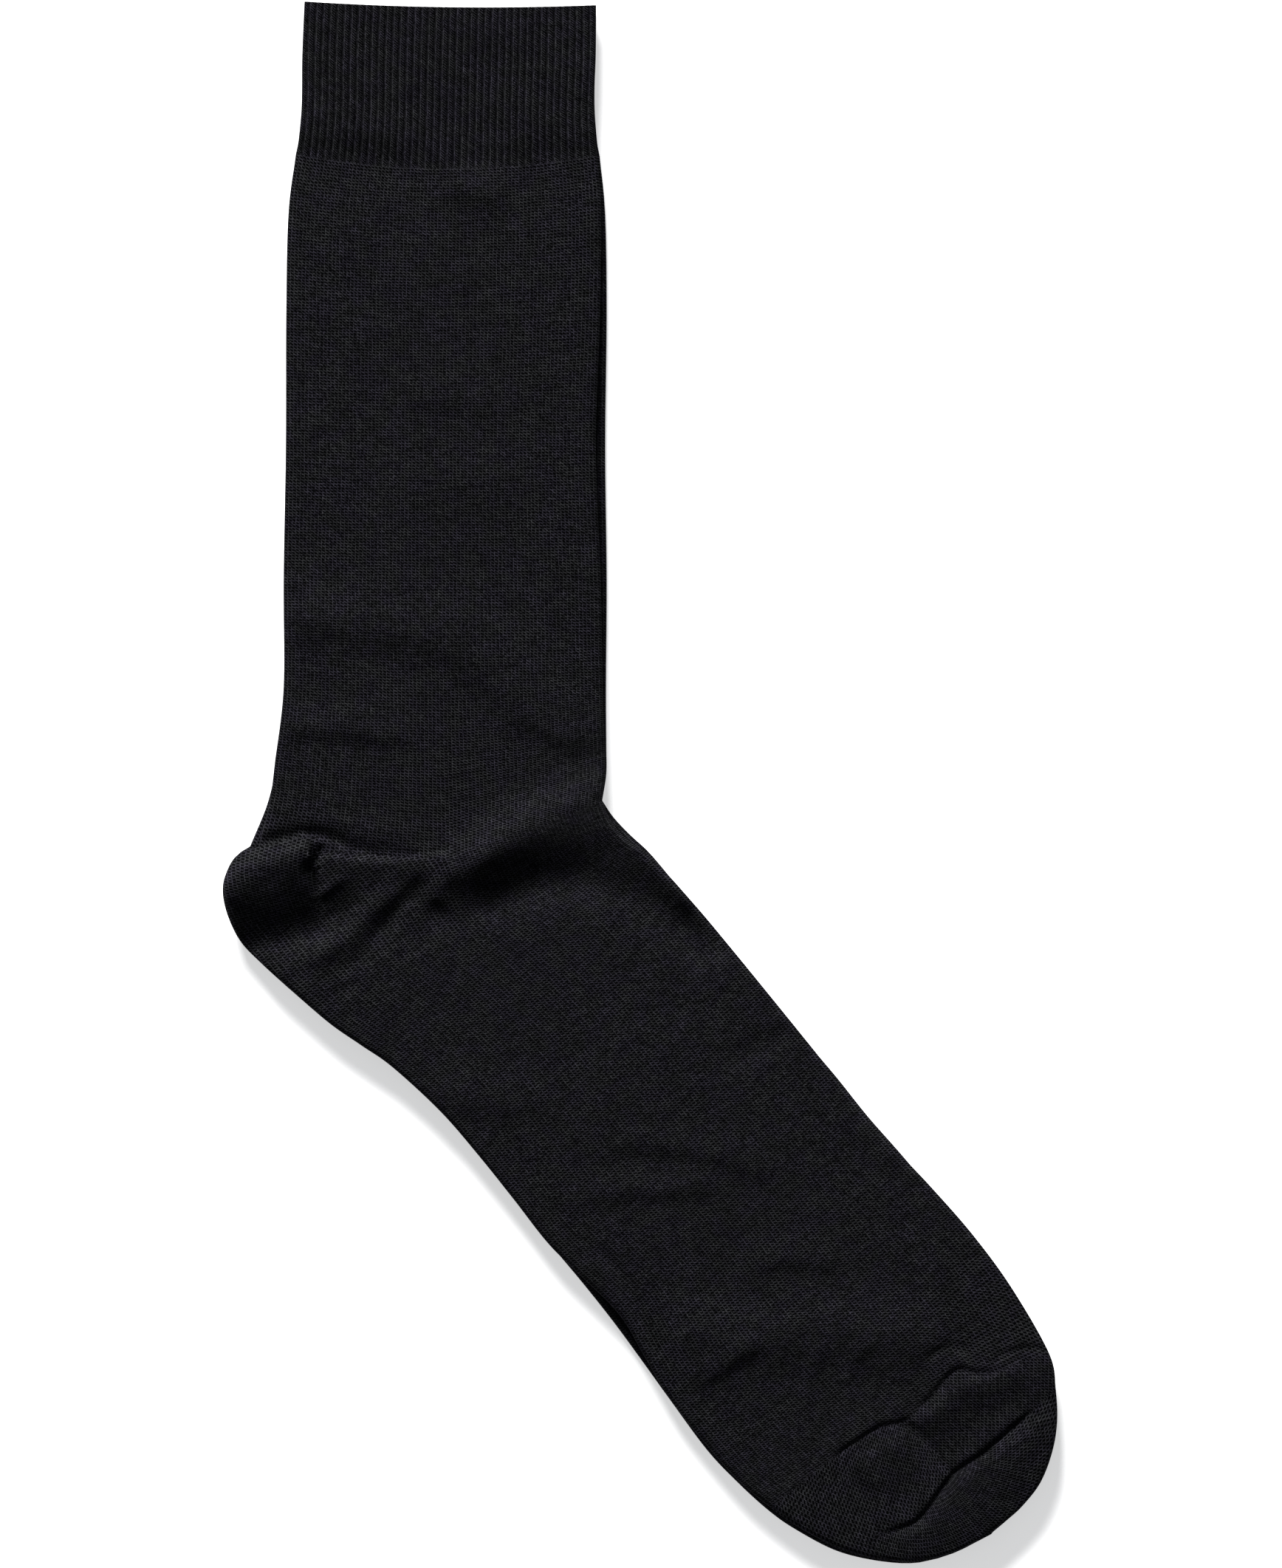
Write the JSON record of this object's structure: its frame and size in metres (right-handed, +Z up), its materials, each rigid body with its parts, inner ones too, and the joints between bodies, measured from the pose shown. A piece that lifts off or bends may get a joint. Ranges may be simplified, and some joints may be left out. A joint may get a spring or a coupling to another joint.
{
  "type": "pair of socks",
  "caption": "Pair of men's mid-calf plain-knit socks with ribbed cuffs, laid flat in profile, one exactly on the other.",
  "frame": {"origin": "under the middle of the pair's outline, on the surface that it lies on", "axes": "+X from the back of the leg to the front, +Y up the leg to the cuff, +Z up from the surface"},
  "size_m": [0.2256, 0.4228, 0.0115],
  "materials": {
    "rib_knit": "matt 1x1 rib knit in charcoal black wool mix",
    "plain_knit": "matt plain knit in charcoal black wool mix"
  },
  "bodies": {
    "root": {"lower_cuff": "rib_knit", "lower_leg": "plain_knit", "lower_heel": "plain_knit", "lower_foot": "plain_knit", "lower_toe": "plain_knit", "upper_cuff": "rib_knit", "upper_leg": "plain_knit", "upper_heel": "plain_knit", "upper_foot": "plain_knit", "upper_toe": "plain_knit"}
  },
  "joints": []
}
